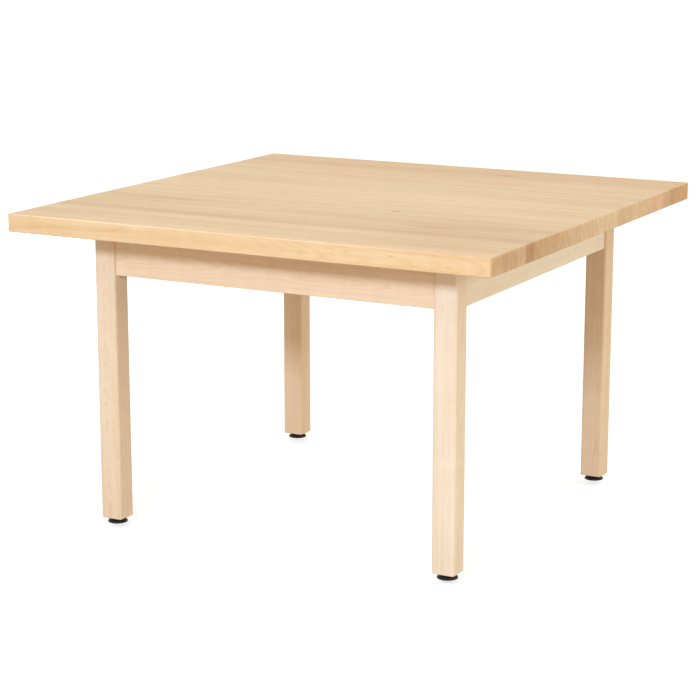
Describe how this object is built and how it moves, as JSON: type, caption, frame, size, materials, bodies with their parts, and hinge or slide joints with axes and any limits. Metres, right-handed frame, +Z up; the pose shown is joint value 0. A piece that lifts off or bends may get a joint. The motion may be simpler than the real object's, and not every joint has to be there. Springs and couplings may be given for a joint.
{
  "type": "communion table",
  "caption": "Square solid maple table: a thick edge-glued slab top on square legs with inset aprons, bolted corner braces and screw-adjustable levelling glides.",
  "frame": {"origin": "on the floor, under the middle of the square top", "axes": "+X to the right along the front edge and along the top's staves, +Y from front to back, +Z up"},
  "size_m": [1.2192, 1.2192, 0.762],
  "materials": {
    "maple_top": "satin clear lacquer on edge-glued maple staves",
    "maple_frame": "satin clear lacquer on solid maple",
    "zinc_steel": "bright zinc plate",
    "black_nylon": "satin black moulded nylon"
  },
  "bodies": {
    "table": {"tabletop": "maple_top", "leg_back_right": "maple_frame", "corner_brace_back_right": "zinc_steel", "hanger_bolt_back_right": "zinc_steel", "brace_nut_back_right": "zinc_steel", "brace_screw_back_right_a": "zinc_steel", "brace_screw_back_right_b": "zinc_steel", "threaded_insert_back_right": "zinc_steel", "leg_back_left": "maple_frame", "corner_brace_back_left": "zinc_steel", "hanger_bolt_back_left": "zinc_steel", "brace_nut_back_left": "zinc_steel", "brace_screw_back_left_a": "zinc_steel", "brace_screw_back_left_b": "zinc_steel", "threaded_insert_back_left": "zinc_steel", "leg_front_left": "maple_frame", "corner_brace_front_left": "zinc_steel", "hanger_bolt_front_left": "zinc_steel", "brace_nut_front_left": "zinc_steel", "brace_screw_front_left_a": "zinc_steel", "brace_screw_front_left_b": "zinc_steel", "threaded_insert_front_left": "zinc_steel", "leg_front_right": "maple_frame", "corner_brace_front_right": "zinc_steel", "hanger_bolt_front_right": "zinc_steel", "brace_nut_front_right": "zinc_steel", "brace_screw_front_right_a": "zinc_steel", "brace_screw_front_right_b": "zinc_steel", "threaded_insert_front_right": "zinc_steel", "apron_front": "maple_frame", "top_clip_front_1": "zinc_steel", "clip_screw_front_1": "zinc_steel", "top_clip_front_2": "zinc_steel", "clip_screw_front_2": "zinc_steel", "apron_right": "maple_frame", "top_clip_right_1": "zinc_steel", "clip_screw_right_1": "zinc_steel", "top_clip_right_2": "zinc_steel", "clip_screw_right_2": "zinc_steel", "apron_back": "maple_frame", "top_clip_back_1": "zinc_steel", "clip_screw_back_1": "zinc_steel", "top_clip_back_2": "zinc_steel", "clip_screw_back_2": "zinc_steel", "apron_left": "maple_frame", "top_clip_left_1": "zinc_steel", "clip_screw_left_1": "zinc_steel", "top_clip_left_2": "zinc_steel", "clip_screw_left_2": "zinc_steel"},
    "base_back_right": {"glide_base_back_right": "black_nylon"},
    "stud_back_right": {"glide_stud_back_right": "zinc_steel"},
    "base_back_left": {"glide_base_back_left": "black_nylon"},
    "stud_back_left": {"glide_stud_back_left": "zinc_steel"},
    "base_front_left": {"glide_base_front_left": "black_nylon"},
    "stud_front_left": {"glide_stud_front_left": "zinc_steel"},
    "base_front_right": {"glide_base_front_right": "black_nylon"},
    "stud_front_right": {"glide_stud_front_right": "zinc_steel"}
  },
  "joints": [
    {"name": "glide_lift_back_right", "type": "slide", "parent": "table", "child": "base_back_right", "axis": [0, 0, -1], "range_m": [-0.002, 0.012]},
    {"name": "glide_turn_back_right", "type": "hinge", "parent": "base_back_right", "child": "stud_back_right", "pos_m": [0.4407, 0.4407, 0.0088], "axis": [0, 0, -1], "range_deg": [-454, 2722]},
    {"name": "glide_lift_back_left", "type": "slide", "parent": "table", "child": "base_back_left", "axis": [0, 0, -1], "range_m": [-0.002, 0.012]},
    {"name": "glide_turn_back_left", "type": "hinge", "parent": "base_back_left", "child": "stud_back_left", "pos_m": [-0.4407, 0.4407, 0.0088], "axis": [0, 0, -1], "range_deg": [-454, 2722]},
    {"name": "glide_lift_front_left", "type": "slide", "parent": "table", "child": "base_front_left", "axis": [0, 0, -1], "range_m": [-0.002, 0.012]},
    {"name": "glide_turn_front_left", "type": "hinge", "parent": "base_front_left", "child": "stud_front_left", "pos_m": [-0.4407, -0.4407, 0.0088], "axis": [0, 0, -1], "range_deg": [-454, 2722]},
    {"name": "glide_lift_front_right", "type": "slide", "parent": "table", "child": "base_front_right", "axis": [0, 0, -1], "range_m": [-0.002, 0.012]},
    {"name": "glide_turn_front_right", "type": "hinge", "parent": "base_front_right", "child": "stud_front_right", "pos_m": [0.4407, -0.4407, 0.0088], "axis": [0, 0, -1], "range_deg": [-454, 2722]}
  ],
  "couplings": [
    {"joint": "glide_turn_back_right", "follows": "glide_lift_back_right", "rad_per_m": 3957.9},
    {"joint": "glide_turn_back_left", "follows": "glide_lift_back_left", "rad_per_m": 3957.9},
    {"joint": "glide_turn_front_left", "follows": "glide_lift_front_left", "rad_per_m": 3957.9},
    {"joint": "glide_turn_front_right", "follows": "glide_lift_front_right", "rad_per_m": 3957.9}
  ]
}
